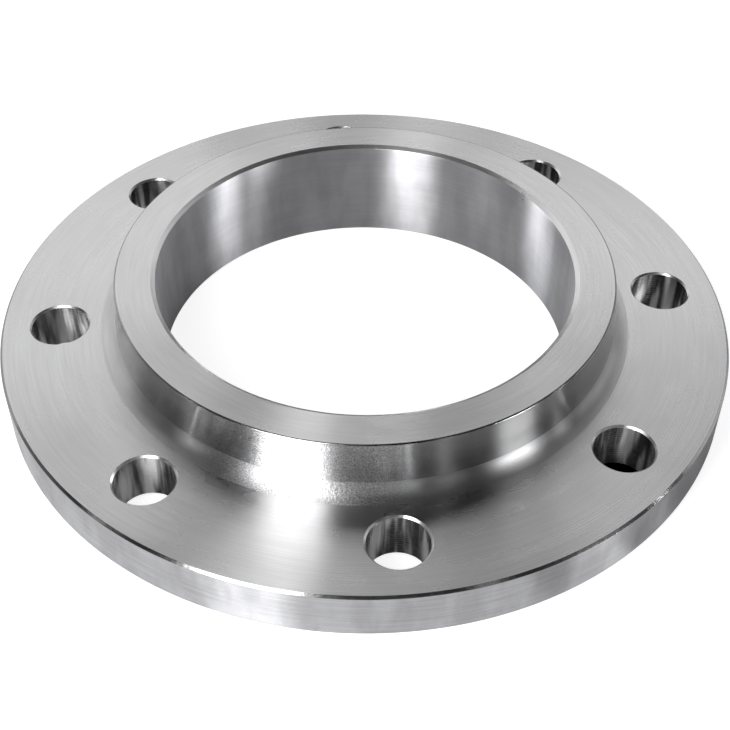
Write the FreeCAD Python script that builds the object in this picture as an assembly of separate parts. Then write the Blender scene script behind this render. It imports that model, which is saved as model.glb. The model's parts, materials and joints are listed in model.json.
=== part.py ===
import FreeCAD, Part
import math
import os

# A hubbed flat flange for a steel pipe, turned and drilled from one forging.
# The pipe slides in at the hub's end and is welded there. Bolts clamp the raised face to its mate.
# Millimetres. The origin is on the axis at the raised sealing face, and +Z runs up through the hub.

# The bore that the pipe slides into, and the flare at the hub's end that leads it in.
bore_diameter = 162.0
bore_flare_radial = 1.7
bore_flare_axial = 1.1

# The hub. Its wall is measured at its end, and its outside widens by the taper down to the plate.
hub_wall = 15.5
hub_taper = 2.0
hub_rise = 22.0
hub_edge_radius = 0.7
hub_foot_radius = 6.0

# The plate, and the distances that place the bolt circle and the rim outside the hub.
plate_thickness = 20.0
hub_to_bolt_circle = 21.5
bolt_circle_to_rim = 22.5
rim_chamfer = 0.9

# The bolt holes. The first one stands half a step off the X axis, so that they straddle it.
bolt_count = 8
bolt_hole_diameter = 22.0
bolt_hole_chamfer = 0.7

# The raised face on the underside ends short of the bolt holes by this land.
raised_face_height = 2.0
raised_face_land = 3.0
raised_face_chamfer = 0.5

# How far a hole's cutter stands out of the plate.
cutter_overrun = 0.5

bore_radius = bore_diameter / 2
hub_end_radius = bore_radius + hub_wall
hub_base_radius = hub_end_radius + hub_taper
bolt_circle_radius = hub_base_radius + hub_to_bolt_circle
rim_radius = bolt_circle_radius + bolt_circle_to_rim
bolt_hole_radius = bolt_hole_diameter / 2
raised_face_radius = bolt_circle_radius - bolt_hole_radius - raised_face_land

plate_bottom = raised_face_height
plate_top = plate_bottom + plate_thickness
hub_top = plate_top + hub_rise

AXIS_POINT = FreeCAD.Vector(0, 0, 0)
AXIS = FreeCAD.Vector(0, 0, 1)


def in_section(radius, height):
    """A point of the section, which lies in the XZ plane."""
    return FreeCAD.Vector(radius, 0, height)


def sharp(corner, before, after):
    """A corner that is left as it is."""
    return [corner]


def chamfer(leg_before, leg_after):
    """A corner cut flat, given how far the cut starts before it and ends after it."""

    def stops(corner, before, after):
        start = corner + (before - corner).normalize() * leg_before
        end = corner + (after - corner).normalize() * leg_after
        return [start, end]

    return stops


def fillet(radius):
    """A corner rounded by an arc that is tangent to both of its sides."""

    def stops(corner, before, after):
        to_before = (before - corner).normalize()
        to_after = (after - corner).normalize()
        half_angle = to_before.getAngle(to_after) / 2
        leg = radius / math.tan(half_angle)
        inward = (to_before + to_after).normalize()
        middle = corner + inward * (radius / math.sin(half_angle) - radius)
        return [corner + to_before * leg, middle, corner + to_after * leg]

    return stops


def revolved(corners):
    """The solid that a closed section sweeps in one full turn. Each corner is a point and its treatment."""
    edges = []
    runs = []
    for i, (point, treatment) in enumerate(corners):
        before = corners[i - 1][0]
        after = corners[(i + 1) % len(corners)][0]
        runs.append(treatment(point, before, after))
    for i, run in enumerate(runs):
        if len(run) == 3:
            edges.append(Part.Arc(*run).toShape())
        if len(run) == 2:
            edges.append(Part.LineSegment(*run).toShape())
        following = runs[(i + 1) % len(runs)]
        edges.append(Part.LineSegment(run[-1], following[0]).toShape())
    return Part.Face(Part.Wire(edges)).revolve(AXIS_POINT, AXIS, 360)


def turned_blank():
    """The flange as it leaves the lathe, before its bolt holes are drilled."""
    small = chamfer(raised_face_chamfer, raised_face_chamfer)
    rim = chamfer(rim_chamfer, rim_chamfer)
    return revolved([
        (in_section(bore_radius, 0), small),
        (in_section(raised_face_radius, 0), small),
        (in_section(raised_face_radius, plate_bottom), sharp),
        (in_section(rim_radius, plate_bottom), rim),
        (in_section(rim_radius, plate_top), rim),
        (in_section(hub_base_radius, plate_top), fillet(hub_foot_radius)),
        (in_section(hub_end_radius, hub_top), fillet(hub_edge_radius)),
        (in_section(bore_radius, hub_top), chamfer(bore_flare_radial, bore_flare_axial)),
    ])


def bolt_hole():
    """What is drilled out for one bolt, on the Z axis, with the edge at each face broken."""
    below = plate_bottom - cutter_overrun
    above = plate_top + cutter_overrun
    mouth_radius = bolt_hole_radius + bolt_hole_chamfer + cutter_overrun
    return revolved([
        (in_section(0, below), sharp),
        (in_section(mouth_radius, below), sharp),
        (in_section(bolt_hole_radius, plate_bottom + bolt_hole_chamfer), sharp),
        (in_section(bolt_hole_radius, plate_top - bolt_hole_chamfer), sharp),
        (in_section(mouth_radius, above), sharp),
        (in_section(0, above), sharp),
    ])


def bolt_holes():
    """The ring of bolt holes on the bolt circle."""
    step = 360 / bolt_count
    holes = []
    for i in range(bolt_count):
        hole = bolt_hole()
        hole.translate(FreeCAD.Vector(bolt_circle_radius, 0, 0))
        hole.rotate(AXIS_POINT, AXIS, (i + 0.5) * step)
        holes.append(hole)
    return holes


def flange_body():
    """The whole flange, one piece of steel."""
    return turned_blank().cut(bolt_holes())


os.makedirs("parts", exist_ok=True)
flange = flange_body().Solids[0]
flange.exportStep("parts/flange_body.step")
print("rim diameter", rim_radius * 2, "bolt circle", bolt_circle_radius * 2, "height", hub_top)
print("volume in cubic millimetres", round(flange.Volume), "valid", flange.isValid())
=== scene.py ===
import json
import math

import bpy
from mathutils import Matrix, Vector

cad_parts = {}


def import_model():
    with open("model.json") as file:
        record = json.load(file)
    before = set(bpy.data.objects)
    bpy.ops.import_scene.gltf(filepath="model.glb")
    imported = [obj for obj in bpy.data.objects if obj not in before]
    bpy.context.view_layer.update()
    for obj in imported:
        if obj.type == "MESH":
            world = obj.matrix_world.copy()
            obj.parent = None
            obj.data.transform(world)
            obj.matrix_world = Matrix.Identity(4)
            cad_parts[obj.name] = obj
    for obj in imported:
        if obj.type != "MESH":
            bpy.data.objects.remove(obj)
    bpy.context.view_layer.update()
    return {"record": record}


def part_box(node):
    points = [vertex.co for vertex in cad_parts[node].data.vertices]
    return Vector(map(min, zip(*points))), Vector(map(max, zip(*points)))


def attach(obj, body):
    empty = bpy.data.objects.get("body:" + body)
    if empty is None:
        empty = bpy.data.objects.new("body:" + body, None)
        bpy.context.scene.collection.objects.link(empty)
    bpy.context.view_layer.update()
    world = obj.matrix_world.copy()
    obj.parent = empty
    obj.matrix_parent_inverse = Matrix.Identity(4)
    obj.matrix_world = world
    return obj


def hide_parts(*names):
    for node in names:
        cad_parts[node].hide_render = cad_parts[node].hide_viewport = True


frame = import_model()

# Sizes and places are in metres, in the part's own frame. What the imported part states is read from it.
MM = 0.001
mounts = {mount["name"]: mount for mount in frame["record"]["mounts"]}
node_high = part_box("flange_body")[1]

BORE_RADIUS = mounts["bore"]["dims"]["r_mm"] * MM
BOLT_CIRCLE_RADIUS = mounts["bolt_holes"]["dims"]["pcd_mm"] / 2 * MM
HOLE_RADIUS = mounts["bolt_holes"]["dims"]["hole_r_mm"] * MM
HOLE_COUNT = mounts["bolt_holes"]["dims"]["count"]
RIM_RADIUS = node_high.x
HUB_TOP = node_high.z

# The rest of the section, and the broken edges.
RAISED_FACE_RADIUS = 106.0 * MM
PLATE_BOTTOM = 2.0 * MM
PLATE_TOP = 22.0 * MM
HUB_END_RADIUS = 96.5 * MM
HUB_BASE_RADIUS = 98.5 * MM
HUB_FOOT_ROUNDING = 6.0 * MM
HUB_EDGE_ROUNDING = 0.7 * MM
FLARE_RADIAL = 1.7 * MM
FLARE_AXIAL = 1.1 * MM
RIM_CHAMFER = 0.9 * MM
HOLE_CHAMFER = 0.7 * MM
SMALL_CHAMFER = 0.5 * MM
EDGE_ROUNDING = 0.12 * MM

# How finely the mesh is divided. A sector is the share of the plate that one bolt hole stands in. The rings
# round a hole's mouth are given as shares of the way out to the sector's outline.
SECTOR_SEGMENTS = 45
SECTOR_SIDE_SEGMENTS = 15
SECTOR_RINGS = (0.07, 0.2, 0.4, 0.68)
HOLE_SEGMENTS = 2 * (SECTOR_SEGMENTS + SECTOR_SIDE_SEGMENTS)
ROUNDING_STEP = math.radians(7.5)
STRAIGHT = 1e-6

# The camera's place and aim, from the fit to the photo's ellipses.
CAMERA_PLACE = Vector((114.54, -376.95, 359.46)) * MM
CAMERA_AIM = Vector((3.78, -11.77, 2.0)) * MM
CAMERA_ROLL = math.radians(0.41)
CAMERA_LENS_MM = 64.1
CAMERA_SENSOR_MM = 36.0
CAMERA_AZIMUTH = math.atan2(CAMERA_PLACE.y, CAMERA_PLACE.x)


def from_camera_side(bearing):
    """The level direction at a bearing from the camera's side, to the right, in degrees."""
    azimuth = CAMERA_AZIMUTH + math.radians(bearing)
    return Vector((math.cos(azimuth), math.sin(azimuth), 0))


class Part:
    """A mesh in the making, with the normal and the map place of every face corner."""

    def __init__(self):
        self.points = []
        self.faces = []
        self.normals = []
        self.places = []
        self.finishes = []

    def ring(self, radius, height, count, centre=(0.0, 0.0), turned=0.0):
        """Points on a level circle: (their numbers, the directions that they lie in from its centre)."""
        numbers = []
        spokes = []
        for i in range(count):
            angle = turned + math.tau * i / count
            spoke = Vector((math.cos(angle), math.sin(angle), 0))
            numbers.append(len(self.points))
            spokes.append(spoke)
            self.points.append(Vector((*centre, height)) + spoke * radius)
        return numbers, spokes

    def face(self, numbers, normals, places, finish):
        self.faces.append(numbers)
        self.normals += normals
        self.places += places
        self.finishes.append(finish)

    def strip(self, start, end, finish):
        """The faces between two rings, each given as (ring, its normal in the section, its place along it)."""
        ((a, spokes), normal_a, along_a), ((b, _), normal_b, along_b) = start, end
        count = len(a)
        for i in range(count):
            j = (i + 1) % count
            around_i, around_j = i / count, (i + 1) / count
            self.face(
                [a[i], a[j], b[j], b[i]],
                [leaned(spokes[i], normal_a), leaned(spokes[j], normal_a),
                 leaned(spokes[j], normal_b), leaned(spokes[i], normal_b)],
                [(around_i, along_a), (around_j, along_a), (around_j, along_b), (around_i, along_b)],
                finish,
            )

    def object(self, name, materials):
        """The finished mesh as an object of the scene. Materials are given by the name of the finish."""
        mesh = bpy.data.meshes.new(name)
        mesh.from_pydata(self.points, [], self.faces)
        finishes = list(materials)
        for finish in finishes:
            mesh.materials.append(materials[finish])
        mesh.polygons.foreach_set("material_index", [finishes.index(f) for f in self.finishes])
        mesh.polygons.foreach_set("use_smooth", [True] * len(self.faces))
        layer = mesh.uv_layers.new(name="turned")
        layer.data.foreach_set("uv", [value for place in self.places for value in place])
        mesh.normals_split_custom_set(self.normals)
        return placed(name, mesh)


def placed(name, data):
    """A new object of the scene, made of a mesh, a lamp or a camera."""
    made = bpy.data.objects.new(name, data)
    bpy.context.scene.collection.objects.link(made)
    return made


def leaned(spoke, normal):
    """A section's normal (outward, up), turned to the direction of a spoke."""
    return spoke * normal.x + Vector((0, 0, normal.y))


def rotated(vector, angle):
    """A flat vector turned anticlockwise."""
    c, s = math.cos(angle), math.sin(angle)
    return Vector((vector.x * c - vector.y * s, vector.x * s + vector.y * c))


def rounded(corners, closed):
    """The points of a section with its corners rounded: (point, normal, finish up to the next point).

    A corner is (radius, height, rounding, finish of the rounding, finish of the side that follows), and the
    steel is on the left of the way round.
    """
    stops = []
    for i, (radius, height, rounding, edge, side) in enumerate(corners):
        corner = Vector((radius, height))
        before = Vector(corners[i - 1][:2]) if closed or i > 0 else None
        after = Vector(corners[(i + 1) % len(corners)][:2]) if closed or i + 1 < len(corners) else None
        arriving = (corner - before).normalized() if before else (after - corner).normalized()
        leaving = (after - corner).normalized() if after else arriving
        turn = math.atan2(arriving.cross(leaving), arriving.dot(leaving))
        normal = Vector((arriving.y, -arriving.x))
        if abs(turn) < STRAIGHT:
            stops.append((corner, normal, side))
            continue
        bend = math.copysign(rounding, turn)
        centre = corner - arriving * rounding * math.tan(abs(turn) / 2) - normal * bend
        steps = max(2, round(abs(turn) / ROUNDING_STEP))
        for k in range(steps + 1):
            spoke = rotated(normal, turn * k / steps)
            stops.append((centre + spoke * bend, spoke, edge if k < steps else side))
    return stops


def flange_section():
    """The corners of the flange's section, from the bore's lower end out along the underside."""
    edge = EDGE_ROUNDING
    return [
        (BORE_RADIUS, SMALL_CHAMFER, edge, "edge", "edge"),
        (BORE_RADIUS + SMALL_CHAMFER, 0, edge, "edge", "face"),
        (RAISED_FACE_RADIUS - SMALL_CHAMFER, 0, edge, "edge", "edge"),
        (RAISED_FACE_RADIUS, SMALL_CHAMFER, edge, "edge", "rim"),
        (RAISED_FACE_RADIUS, PLATE_BOTTOM, edge, "edge", "plate"),
        (RIM_RADIUS - RIM_CHAMFER, PLATE_BOTTOM, edge, "edge", "edge"),
        (RIM_RADIUS, PLATE_BOTTOM + RIM_CHAMFER, edge, "edge", "rim"),
        (RIM_RADIUS, PLATE_TOP - RIM_CHAMFER, edge, "dark_edge", "dark_edge"),
        (RIM_RADIUS - RIM_CHAMFER, PLATE_TOP, edge, "dark_edge", "plate"),
        (HUB_BASE_RADIUS, PLATE_TOP, HUB_FOOT_ROUNDING, "foot", "hub"),
        (HUB_END_RADIUS, HUB_TOP, HUB_EDGE_ROUNDING, "dark_edge", "face"),
        (BORE_RADIUS + FLARE_RADIAL, HUB_TOP, edge, "edge", "edge"),
        (BORE_RADIUS, HUB_TOP - FLARE_AXIAL, edge, "edge", "bore"),
    ]


def hole_section():
    """The corners of a bolt hole's section, from the plate's top down to its underside."""
    edge = EDGE_ROUNDING
    mouth = HOLE_RADIUS + HOLE_CHAMFER
    flat = mouth + 2 * edge
    return [
        (flat, PLATE_TOP, 0, "plate", "plate"),
        (mouth, PLATE_TOP, edge, "edge", "edge"),
        (HOLE_RADIUS, PLATE_TOP - HOLE_CHAMFER, edge, "edge", "hole"),
        (HOLE_RADIUS, PLATE_BOTTOM + HOLE_CHAMFER, edge, "edge", "edge"),
        (mouth, PLATE_BOTTOM, edge, "edge", "plate"),
        (flat, PLATE_BOTTOM, 0, "plate", "plate"),
    ]


def plate_side(part, outer, inner, mouths, up):
    """A side of the plate, from the rim's ring to the inner ring, round the mouths of the bolt holes."""
    normal = Vector((0, 0, 1 if up else -1))
    spans = []
    for i in range(HOLE_COUNT):
        first = outer[0][i * SECTOR_SEGMENTS]
        last = inner[0][i * SECTOR_SEGMENTS]
        start, end = part.points[first], part.points[last]
        span = [first]
        for k in range(1, SECTOR_SIDE_SEGMENTS):
            span.append(len(part.points))
            part.points.append(start.lerp(end, k / SECTOR_SIDE_SEGMENTS))
        spans.append(span + [last])
    for i in range(HOLE_COUNT):
        low = i * SECTOR_SEGMENTS
        arc = [(low + k) % (SECTOR_SEGMENTS * HOLE_COUNT) for k in range(SECTOR_SEGMENTS + 1)]
        outline = [outer[0][k] for k in arc[:-1]]
        outline += spans[(i + 1) % HOLE_COUNT][:-1]
        outline += [inner[0][k] for k in reversed(arc[1:])]
        outline += list(reversed(spans[i]))[:-1]
        rings = [outline]
        for share in reversed(SECTOR_RINGS):
            ring = []
            for mouth_point, outline_point in zip(mouths[i][0], outline):
                ring.append(len(part.points))
                part.points.append(part.points[mouth_point].lerp(part.points[outline_point], share))
            rings.append(ring)
        rings.append(mouths[i][0])
        for ring_a, ring_b in zip(rings, rings[1:]):
            for k in range(HOLE_SEGMENTS):
                j = (k + 1) % HOLE_SEGMENTS
                numbers = [ring_a[k], ring_a[j], ring_b[j], ring_b[k]]
                if not up:
                    numbers.reverse()
                places = [part.points[number].xy[:] for number in numbers]
                part.face(numbers, [normal] * 4, places, "plate")


def flange(materials):
    """The whole flange, turned about the Z axis and drilled."""
    part = Part()
    half_step = math.pi / HOLE_COUNT
    # A hole's rings start where their outer arc begins, the one that faces the sector's arc of the rim.
    half_arc = math.tau * (SECTOR_SEGMENTS / HOLE_SEGMENTS) / 2
    top_mouths = []
    bottom_mouths = []
    hole_stops = rounded(hole_section(), closed=False)
    for i in range(HOLE_COUNT):
        azimuth = (2 * i + 1) * half_step
        centre = (BOLT_CIRCLE_RADIUS * math.cos(azimuth), BOLT_CIRCLE_RADIUS * math.sin(azimuth))
        along = 0.0
        last = None
        for point, normal, finish in hole_stops:
            ring = part.ring(point.x, point.y, HOLE_SEGMENTS, centre, azimuth - half_arc)
            if last:
                along += (point - last[2]).length
                part.strip(last[0], (ring, normal, along), last[1])
            else:
                top_mouths.append(ring)
            last = ((ring, normal, along), finish, point)
        bottom_mouths.append(ring)
    stops = rounded(flange_section(), closed=True)
    rings = [part.ring(point.x, point.y, SECTOR_SEGMENTS * HOLE_COUNT) for point, _, _ in stops]
    along = 0.0
    for k, (point, normal, finish) in enumerate(stops):
        j = (k + 1) % len(stops)
        next_point, next_normal, _ = stops[j]
        reach = along + (next_point - point).length
        if finish != "plate":
            part.strip((rings[k], normal, along), (rings[j], next_normal, reach), finish)
        elif normal.y > 0:
            plate_side(part, rings[k], rings[j], top_mouths, up=True)
        else:
            plate_side(part, rings[j], rings[k], bottom_mouths, up=False)
        along = reach
    return part.object("flange", materials)


def node(tree, kind, inputs=None, **settings):
    """A new node. Its inputs are values or other nodes' outputs, by name or number."""
    made = tree.nodes.new(kind)
    for name, value in settings.items():
        setattr(made, name, value)
    for name, value in (inputs or {}).items():
        if isinstance(value, bpy.types.NodeSocket):
            tree.links.new(value, made.inputs[name])
        else:
            made.inputs[name].default_value = value
    return made


def math_node(tree, operation, *values):
    return node(tree, "ShaderNodeMath", dict(enumerate(values)), operation=operation).outputs[0]


def vector_math(tree, operation, *values):
    """The outputs of a vector operation: Vector, or Value where it gives a number."""
    return node(tree, "ShaderNodeVectorMath", dict(enumerate(values)), operation=operation).outputs


def scaled(tree, vector, scale):
    made = node(tree, "ShaderNodeVectorMath", {0: vector, "Scale": scale}, operation="SCALE")
    return made.outputs["Vector"]


def joined(tree, *values):
    """A vector of three values."""
    return node(tree, "ShaderNodeCombineXYZ", dict(enumerate(values))).outputs[0]


def parts_of(tree, vector):
    """The three values of a vector."""
    return node(tree, "ShaderNodeSeparateXYZ", {0: vector}).outputs


def ramp(tree, value, start, end, low=0.0, high=1.0, **settings):
    """What goes from low to high while the value goes from start to end."""
    return node(tree, "ShaderNodeMapRange", {
        "Value": value, "From Min": start, "From Max": end, "To Min": low, "To Max": high,
    }, **settings).outputs[0]


def noise(tree, place, scale=1.0, detail=2.0, roughness=0.5):
    """A noise that swings evenly about 0."""
    made = node(tree, "ShaderNodeTexNoise", {
        "Vector": place, "Scale": scale, "Detail": detail, "Roughness": roughness,
    })
    return math_node(tree, "SUBTRACT", made.outputs[0], 0.5)


def summed(tree, start, *terms):
    """A start value plus each term's value times its weight. Terms without weight are left out."""
    total = start
    for value, weight in terms:
        if weight:
            total = math_node(tree, "MULTIPLY_ADD", value, weight, total)
    return total


def side_share(tree, spoke, side, start, full, elsewhere=0.0):
    """A share that grows to 1 towards one side of the axis, between two angles from it in degrees."""
    facing = vector_math(tree, "DOT_PRODUCT", spoke, side)["Value"]
    return ramp(tree, facing, math.cos(math.radians(start)), math.cos(math.radians(full)), elsewhere)


class Finish:
    """How a face was cut: its colour, its sheen, and the marks that the tool left, with painted glints and
    reflections on some faces.

    Lengths are in millimetres. A depth is how high a mark stands in the bump, and a tone is the share by
    which it darkens and lightens the steel.
    """

    colour = (0.55, 0.55, 0.555)
    roughness = 0.31
    anisotropy = 1.0
    # The part of a turn that lays the sheen across the tangent, which the grooves follow.
    sheen_turn = 0.25
    # Uneven grooves that run round the axis, and about how many of them follow each other in a radian.
    groove_pitch = 0.65
    groove_runs = 6.0
    groove_detail = 0.5
    groove_depth = 0.0
    groove_tone = 0.3
    # Broad rings, where the tool was sharper or duller.
    ring_pitch = 6.0
    ring_runs = 0.6
    ring_tone = 0.12
    # The even lines that the tool's feed leaves, and how far the rings make them waver, in radians.
    feed_pitch = 1.0
    feed_waver = 6.0
    feed_tone = 0.05
    # The side where those lines stand out: its direction from the axis, how far it spreads to each side in
    # degrees, and their share elsewhere.
    feed_side = None
    feed_half = 60.0
    feed_elsewhere = 0.25
    # A fine peel like an orange's.
    peel_size = 0.7
    peel_depth = 0.0
    # The side where the hub and its foot mirror the main lamps. There the peel is deeper, and bright and dark
    # specks are painted into the colour as painted glints: its direction from the axis, how far it spreads to
    # each side in degrees, the peel's share elsewhere, and the specks.
    peel_and_glint_side = None
    peel_and_glint_half = 19.0
    peel_and_glint_fade = 5.0
    peel_elsewhere = 1.0
    speck_size = 0.48
    speck_tone = 0.0
    # Marks across the grooves, where the tool trembled, and the streaks below: the radius of the wall that
    # they stand on, and how quickly they change along it.
    wall_radius = None
    change_along = 0.03
    # Slight flutes.
    flute_pitch = 2.0
    flute_depth = 0.0
    # Streaks in the colour; the strong ones in the bolt holes are painted reflections. A balance above 0 makes
    # the dark ones wider, and the softness is that of their sides.
    stripe_pitch = 9.0
    stripe_detail = 3.0
    stripe_balance = 0.0
    stripe_softness = 0.13
    stripe_tone = 0.0
    # A grain without direction.
    grain_size = 0.5
    grain_tone = 0.12
    # Large soft clouds of duller steel.
    cloud_size = 35.0
    cloud_tone = 0.08
    cloud_roughness = 0.12

    def __init__(self, name, **settings):
        self.name = name
        for key, value in settings.items():
            setattr(self, key, value)

    def places(self, tree):
        """(the place in millimetres, how far across the grooves, the direction from the axis)."""
        place = scaled(tree, node(tree, "ShaderNodeTexCoord").outputs["Object"], 1 / MM)
        x, y, height = parts_of(tree, place)
        flat = joined(tree, x, y, 0.0)
        radius = vector_math(tree, "LENGTH", flat)["Value"]
        return place, math_node(tree, "ADD", radius, height), vector_math(tree, "NORMALIZE", flat)["Vector"]

    def tangent(self, tree):
        return node(tree, "ShaderNodeTangent", direction_type="RADIAL", axis="Z").outputs[0]

    def material(self):
        made = bpy.data.materials.new(self.name)
        made.use_nodes = True
        tree = made.node_tree
        shader = tree.nodes["Principled BSDF"]
        place, across, spoke = self.places(tree)
        spoke_x, spoke_y, _ = parts_of(tree, spoke)

        def round_axis(pitch, runs):
            """A place whose noise makes marks that run round the axis, about so many to a radian."""
            return joined(
                tree, math_node(tree, "DIVIDE", across, pitch),
                math_node(tree, "MULTIPLY", spoke_x, runs),
                math_node(tree, "MULTIPLY", spoke_y, runs),
            )

        def across_axis(pitch):
            """A place whose noise makes marks that run across the grooves."""
            around = self.wall_radius / pitch
            return joined(
                tree, math_node(tree, "MULTIPLY", spoke_x, around),
                math_node(tree, "MULTIPLY", spoke_y, around),
                math_node(tree, "MULTIPLY", across, self.change_along),
            )

        grooves = noise(tree, round_axis(self.groove_pitch, self.groove_runs), detail=self.groove_detail)
        rings = noise(tree, round_axis(self.ring_pitch, self.ring_runs))
        clouds = noise(tree, place, 1 / self.cloud_size, detail=3.0, roughness=0.6)
        grain = noise(tree, place, 1 / self.grain_size, detail=1.0)
        depths = [(grooves, self.groove_depth)]
        tones = [(grooves, self.groove_tone), (rings, self.ring_tone), (clouds, self.cloud_tone),
                 (grain, self.grain_tone)]
        if self.feed_tone:
            waver = math_node(tree, "MULTIPLY", rings, self.feed_waver)
            feed = math_node(tree, "SINE", summed(tree, waver, (across, math.tau / self.feed_pitch)))
            if self.feed_side:
                share = side_share(tree, spoke, self.feed_side, self.feed_half, 0.0, self.feed_elsewhere)
                feed = math_node(tree, "MULTIPLY", feed, share)
            tones.append((feed, self.feed_tone))
        if self.peel_and_glint_side:
            peel_and_glint = side_share(tree, spoke, self.peel_and_glint_side, self.peel_and_glint_half + self.peel_and_glint_fade,
                              self.peel_and_glint_half - self.peel_and_glint_fade)
        if self.peel_depth:
            peel = noise(tree, place, 1 / self.peel_size)
            if self.peel_and_glint_side:
                share = math_node(tree, "MULTIPLY_ADD", peel_and_glint, 1 - self.peel_elsewhere, self.peel_elsewhere)
                peel = math_node(tree, "MULTIPLY", peel, share)
            depths.append((peel, self.peel_depth))
        if self.flute_depth:
            depths.append((noise(tree, across_axis(self.flute_pitch)), self.flute_depth))
        if self.stripe_tone:
            stripes = ramp(
                tree, noise(tree, across_axis(self.stripe_pitch), detail=self.stripe_detail),
                self.stripe_balance - self.stripe_softness, self.stripe_balance + self.stripe_softness,
                -1.0, 1.0, interpolation_type="SMOOTHSTEP",
            )
            tones.append((stripes, self.stripe_tone))
        # Bright and dark specks painted into the colour on the side that mirrors the main lamps: painted
        # glints.
        if self.speck_tone:
            specks = noise(tree, place, 1 / self.speck_size, detail=1.0)
            tones.append((math_node(tree, "MULTIPLY", specks, peel_and_glint), self.speck_tone))

        colour = scaled(tree, self.colour, summed(tree, 1.0, *tones))
        dull = summed(tree, self.roughness, (clouds, self.cloud_roughness), (rings, self.cloud_roughness / 2))
        tree.links.new(colour, shader.inputs["Base Color"])
        tree.links.new(dull, shader.inputs["Roughness"])
        tree.links.new(self.tangent(tree), shader.inputs["Tangent"])
        height = summed(tree, 0.0, *depths)
        if height:
            bump = node(tree, "ShaderNodeBump", {"Strength": 1.0, "Distance": MM, "Height": height})
            tree.links.new(bump.outputs[0], shader.inputs["Normal"])
        shader.inputs["Metallic"].default_value = 1
        shader.inputs["Anisotropic"].default_value = self.anisotropy
        shader.inputs["Anisotropic Rotation"].default_value = self.sheen_turn
        return made


class DrilledFinish(Finish):
    """A finish whose grooves run round a bolt hole's own axis."""

    def places(self, tree):
        place = scaled(tree, node(tree, "ShaderNodeTexCoord").outputs["Object"], 1 / MM)
        around, _, _ = parts_of(tree, node(tree, "ShaderNodeUVMap", uv_map="turned").outputs[0])
        turn = math_node(tree, "MULTIPLY", around, math.tau)
        spoke = joined(tree, math_node(tree, "COSINE", turn), math_node(tree, "SINE", turn), 0.0)
        return place, parts_of(tree, place)[2], spoke

    def tangent(self, tree):
        return node(tree, "ShaderNodeTangent", direction_type="UV_MAP", uv_map="turned").outputs[0]


def finishes():
    """The materials of the turned and drilled faces and of the broken edges, by name."""
    # The rim and the bore are painted a little bluer: a painted tint of the light that they mirror.
    cool = (0.545, 0.545, 0.565)
    # The side where the hub mirrors the main lamps, which gets the painted glints.
    peel_and_glint_side = from_camera_side(-13)
    made = {
        "plate": Finish(
            "turned_plate", roughness=0.275, groove_pitch=1.0, groove_tone=0.14, grain_tone=0.0,
            feed_side=from_camera_side(24),
        ),
        "face": Finish(
            "turned_face", roughness=0.285, groove_pitch=1.0, groove_tone=0.18, grain_tone=0.0,
            feed_tone=0.02,
        ),
        "rim": Finish(
            "turned_rim", colour=cool, roughness=0.245, wall_radius=142.5, flute_depth=0.012,
            stripe_tone=0.09, feed_tone=0.02,
        ),
        "hub": Finish(
            "turned_hub", roughness=0.25, groove_pitch=0.35, groove_detail=2.0, groove_depth=0.03,
            peel_depth=0.035, peel_and_glint_side=peel_and_glint_side, peel_elsewhere=0.3, speck_tone=2.0, wall_radius=97.5,
            stripe_tone=0.03, feed_tone=0.0,
        ),
        "foot": Finish(
            "turned_foot", roughness=0.38, groove_pitch=0.35, groove_detail=2.0, groove_depth=0.05,
            peel_depth=0.065, peel_and_glint_side=peel_and_glint_side, peel_elsewhere=0.8, speck_tone=2.0, feed_tone=0.0,
        ),
        "bore": Finish(
            "turned_bore", colour=cool, roughness=0.305, groove_pitch=1.0, groove_tone=0.16, wall_radius=81.0,
            flute_depth=0.006, stripe_tone=0.08, grain_tone=0.0, feed_tone=0.02,
        ),
        # The bolt holes' walls get strong dark and bright streaks painted into the colour: painted
        # reflections.
        "hole": DrilledFinish(
            "drilled_hole", colour=(0.5, 0.5, 0.505), roughness=0.2, groove_depth=0.02, wall_radius=11.0,
            flute_pitch=2.2, flute_depth=0.15, stripe_pitch=4.0, stripe_detail=2.0, stripe_balance=0.03,
            stripe_tone=0.8, feed_tone=0.1,
        ),
        "edge": Finish(
            "broken_edge", colour=(0.62, 0.62, 0.62), roughness=0.3, anisotropy=0.7, groove_depth=0.015,
            peel_size=1.6, peel_depth=0.07,
        ),
        # The rim's upper chamfer and the hub's top edge are painted darker: painted shade for the dark that
        # they mirror.
        "dark_edge": Finish(
            "dark_edge", colour=(0.3, 0.3, 0.3), roughness=0.22, anisotropy=0.7, groove_depth=0.015,
            peel_size=1.6, peel_depth=0.045,
        ),
    }
    return {key: finish.material() for key, finish in made.items()}


def camera():
    data = bpy.data.cameras.new("camera")
    data.sensor_width = CAMERA_SENSOR_MM
    data.lens = CAMERA_LENS_MM
    made = placed("camera", data)
    looking = (CAMERA_AIM - CAMERA_PLACE).to_track_quat("-Z", "Y").to_matrix().to_4x4()
    made.matrix_world = Matrix.Translation(CAMERA_PLACE) @ looking @ Matrix.Rotation(CAMERA_ROLL, 4, "Z")
    bpy.context.scene.camera = made


FLOOR_RADIUS = 1.5
FLOOR_SIDES = 96
FLOOR_COLOUR = (0.45, 0.45, 0.45)
# The floor's own glow to the camera, which makes it white, and the dimmer one that the steel mirrors.
FLOOR_GLOW = 0.85
MIRRORED_GLOW = 0.36
# The ring of floor that the flange stands over, and the floor within it, as shares of the mirrored glow: the
# ring glows brighter, a painted light, and the floor within glows dimmer, a painted shade.
COVERED_MIDDLE = (RIM_RADIUS + RAISED_FACE_RADIUS) / 2
COVERED_HALF = (RIM_RADIUS - RAISED_FACE_RADIUS) / 2
COVERED_FADE = 4 * MM
COVERED_SHARE = 2.0
INSIDE_SHARE = 0.12
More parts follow.
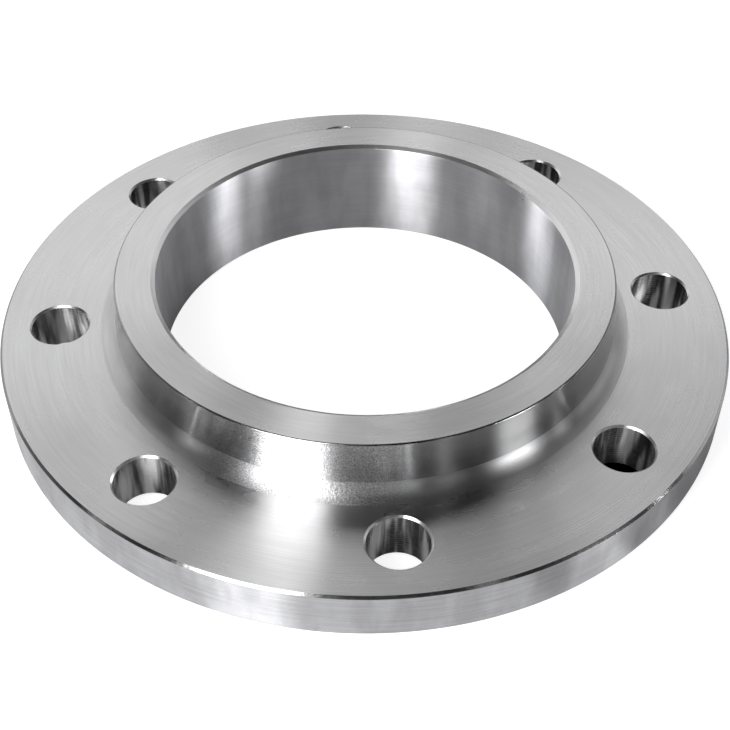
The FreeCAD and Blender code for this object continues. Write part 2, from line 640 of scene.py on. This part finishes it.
# Soft round patches of painted shade in the floor's glow, which only the steel mirrors: (bearing, reach,
# radius, gain).
DARK_PATCHES = (
    (68, 0.165, 0.07, 0.05),
    (45.2, 0.153, 0.014, 0.1),
    (5.6, 0.156, 0.006, 0.4),
    (33, 0.162, 0.026, 0.15),
)
# A streak of painted light in the floor's glow, which the rim mirrors as an upright band. Its fade is a share
# of the half width.
STREAK_BEARING = -14.8
STREAK_HALF_WIDTH = 16.5 * MM
STREAK_FADE = 0.2
STREAK_REACH = 60 * MM
STREAK_GLOW = 0.6
# A painted shadow: there the floor is black to the camera and has no colour of its own.
# The floor behind the bolt hole at the lower right, which the photo shows dark: (bearing, reach, radius).
SHADED_SPOT = (59.7, 0.107, 0.017)
# The world is white to the camera, and this much of white to everything else.
WORLD_GLOW = 0.02


def painted_streak(tree, place):
    """1 on the floor where the rim mirrors it to the camera as the streak's band, and 0 elsewhere."""
    spoke = from_camera_side(STREAK_BEARING)
    foot = spoke * RIM_RADIUS
    sight = (foot - CAMERA_PLACE) * Vector((1, 1, 0))
    away = (sight - 2 * sight.dot(spoke) * spoke).normalized()
    sideways = Vector((-away.y, away.x, 0))
    offset = vector_math(tree, "SUBTRACT", place, foot)["Vector"]
    across = math_node(tree, "ABSOLUTE", vector_math(tree, "DOT_PRODUCT", offset, sideways)["Value"])
    along = math_node(tree, "ABSOLUTE", vector_math(tree, "DOT_PRODUCT", offset, away)["Value"])
    near, far = STREAK_HALF_WIDTH * (1 - STREAK_FADE), STREAK_HALF_WIDTH * (1 + STREAK_FADE)
    return math_node(tree, "MULTIPLY", ramp(tree, across, near, far, 1, 0),
                     ramp(tree, along, STREAK_REACH / 2, STREAK_REACH, 1, 0))


def mirrored_glow(tree, place):
    """How brightly the floor glows in the steel's mirror, with painted light and painted shade in it."""
    radius = vector_math(tree, "LENGTH", vector_math(tree, "MULTIPLY", place, (1, 1, 0))["Vector"])["Value"]
    offset = math_node(tree, "ABSOLUTE", math_node(tree, "SUBTRACT", radius, COVERED_MIDDLE))
    covered = ramp(tree, offset, COVERED_HALF - COVERED_FADE, COVERED_HALF, COVERED_SHARE)
    inside = ramp(tree, radius, COVERED_MIDDLE - MM, COVERED_MIDDLE + MM, INSIDE_SHARE)
    glow = math_node(tree, "MULTIPLY", math_node(tree, "MULTIPLY", MIRRORED_GLOW, covered), inside)
    for bearing, reach, size, gain in DARK_PATCHES:
        away = vector_math(tree, "DISTANCE", place, from_camera_side(bearing) * reach)["Value"]
        glow = math_node(tree, "MULTIPLY", glow, ramp(tree, away, size / 2, size, gain))
    streak = math_node(tree, "MULTIPLY", painted_streak(tree, place), STREAK_GLOW)
    return math_node(tree, "MAXIMUM", glow, math_node(tree, "MULTIPLY", streak, covered))


def floor():
    """A pale floor that shows white to the camera and dimmer in the steel, and still takes the shadow, with a
    painted shadow behind one bolt hole and painted light and shade in the glow that the steel mirrors.
    """
    material = bpy.data.materials.new("pale_floor")
    material.use_nodes = True
    tree = material.node_tree
    tree.nodes.clear()
    path = node(tree, "ShaderNodeLightPath").outputs
    place = node(tree, "ShaderNodeNewGeometry").outputs["Position"]
    bearing, reach, size = SHADED_SPOT
    away = vector_math(tree, "DISTANCE", place, from_camera_side(bearing) * reach)["Value"]
    # 0 in the painted shadow behind the bolt hole, and 1 elsewhere.
    open_floor = math_node(tree, "GREATER_THAN", away, size)
    seen = math_node(tree, "MULTIPLY", path["Is Camera Ray"], FLOOR_GLOW)
    seen = math_node(tree, "MULTIPLY", seen, open_floor)
    mirrored = math_node(tree, "MAXIMUM", path["Is Glossy Ray"], path["Is Transmission Ray"])
    mirrored = math_node(tree, "MULTIPLY", mirrored, mirrored_glow(tree, place))
    emission = node(tree, "ShaderNodeEmission", {"Strength": math_node(tree, "MAXIMUM", seen, mirrored)})
    matt = node(tree, "ShaderNodeBsdfDiffuse", {"Color": scaled(tree, FLOOR_COLOUR, open_floor)})
    both = node(tree, "ShaderNodeAddShader", {0: matt.outputs[0], 1: emission.outputs[0]})
    node(tree, "ShaderNodeOutputMaterial", {"Surface": both.outputs[0]})
    mesh = bpy.data.meshes.new("floor")
    angles = [math.tau * i / FLOOR_SIDES for i in range(FLOOR_SIDES)]
    points = [(FLOOR_RADIUS * math.cos(angle), FLOOR_RADIUS * math.sin(angle), 0) for angle in angles]
    mesh.from_pydata(points, [], [list(range(FLOOR_SIDES))])
    mesh.materials.append(material)
    made = placed("floor", mesh)


def area_light(name, place, outward, width, tall, brightness, lean=0.0, spread=180.0):
    """A soft light at a place, with its back to the outward direction, that leans down by some degrees."""
    data = bpy.data.lights.new(name, "AREA")
    data.shape = "RECTANGLE"
    data.size = width
    data.size_y = tall
    data.spread = math.radians(spread)
    data.energy = brightness * math.pi * width * tall
    made = placed(name, data)
    made.visible_camera = False
    upright = outward.to_track_quat("Z", "Y").to_matrix().to_4x4()
    leaning = Matrix.Rotation(-math.radians(lean), 4, "X")
    made.matrix_world = Matrix.Translation(place) @ upright @ leaning


# Lamps that face the flange's axis: (name, bearing, reach from the axis, height of the middle above the
# floor, width, own height, brightness, lean).
SOFTBOXES = (
    ("main_softbox", -27.7, 0.45, 0.40, 0.2, 0.54, 10.5, 0),
    ("main_low_softbox", -24.6, 0.445, 0.07, 0.145, 0.13, 8.0, 0),
    ("right_softbox", 57.4, 0.7, 0.052, 0.18, 0.1, 20.5, 0),
    ("right_back_low_panel", 102, 0.8, 0.1, 0.42, 0.2, 1.3, 0),
    ("right_side_low_panel", 128, 0.8, 0.15, 0.36, 0.3, 0.5, 0),
    ("left_back_low_panel", -117, 0.8, 0.25, 0.46, 0.5, 1.0, 0),
    ("left_low_dim_panel", -90, 0.8, 0.12, 0.32, 0.2, 0.3, 0),
    ("left_rear_low_panel", -150, 0.75, 0.17, 0.4, 0.3, 1.2, 0),
    ("right_rear_low_panel", 154, 0.75, 0.2, 0.35, 0.2, 0.8, 0),
    ("front_low_panel", 3, 0.7, 0.1, 0.33, 0.18, 0.85, 0),
    ("front_strip", 7, 0.7, 0.12, 0.012, 0.2, 6, 0),
    ("front_thin_strip", 16.6, 0.7, 0.12, 0.007, 0.2, 20, 0),
    ("front_dim_strip", 31, 0.7, 0.35, 0.05, 0.6, 1.0, 0),
    ("left_thin_strip", -68, 0.7, 0.12, 0.008, 0.2, 20, 0),
    ("left_dim_strip", -61.5, 0.7, 0.12, 0.01, 0.2, 8, 0),
    ("right_thin_strip", 78, 0.7, 0.12, 0.008, 0.2, 24, 0),
    ("back_left_panel", -152, 0.669, 0.602, 0.7, 0.655, 1.06, 42),
    ("back_right_panel", 159, 0.62, 0.58, 0.54, 0.56, 1.05, 43),
)

# Small lamps inside the bore: (name, bearing of the wall that mirrors it to the camera, width, brightness).
BORE_LIGHTS = (
    ("bore_back_light", 166.5, 0.027, 0.68),
    ("bore_left_light", -133, 0.018, 1.5),
    ("bore_right_light", 117, 0.018, 1.6),
    ("bore_dim_right_light", 141, 0.05, 0.2),
    ("bore_thin_left_light", -144.5, 0.01, 0.45),
)
# Their distance from that wall, the height of their middles above the floor, their own height, and the angle
# that they shine in.
BORE_LIGHT_REACH = 0.11
BORE_LIGHT_HEIGHT = 0.026
BORE_LIGHT_TALL = 0.03
BORE_LIGHT_SPREAD = 60.0


def lights():
    for name, bearing, reach, height, width, tall, brightness, lean in SOFTBOXES:
        outward = from_camera_side(bearing)
        area_light(name, outward * reach + Vector((0, 0, height)), outward, width, tall, brightness, lean)
    for name, bearing, width, brightness in BORE_LIGHTS:
        inward = -from_camera_side(bearing)
        along = Vector((-inward.y, inward.x, 0))
        wall = Vector((0, 0, BORE_LIGHT_HEIGHT)) - inward * BORE_RADIUS
        aside = (CAMERA_PLACE - wall).normalized().dot(along)
        outward = inward * math.sqrt(1 - aside * aside) - along * aside
        place = wall + outward * BORE_LIGHT_REACH
        area_light(name, place, outward, width, BORE_LIGHT_TALL, brightness, spread=BORE_LIGHT_SPREAD)


def world():
    made = bpy.data.worlds.new("studio")
    bpy.context.scene.world = made
    made.use_nodes = True
    tree = made.node_tree
    background = tree.nodes["Background"]
    background.inputs["Color"].default_value = (1, 1, 1, 1)
    to_camera = node(tree, "ShaderNodeLightPath").outputs["Is Camera Ray"]
    tree.links.new(math_node(tree, "MAXIMUM", to_camera, WORLD_GLOW), background.inputs["Strength"])


body = flange(finishes())
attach(body, "root")
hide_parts("flange_body")
floor()
lights()
world()
camera()

bpy.context.scene.view_settings.view_transform = "Standard"
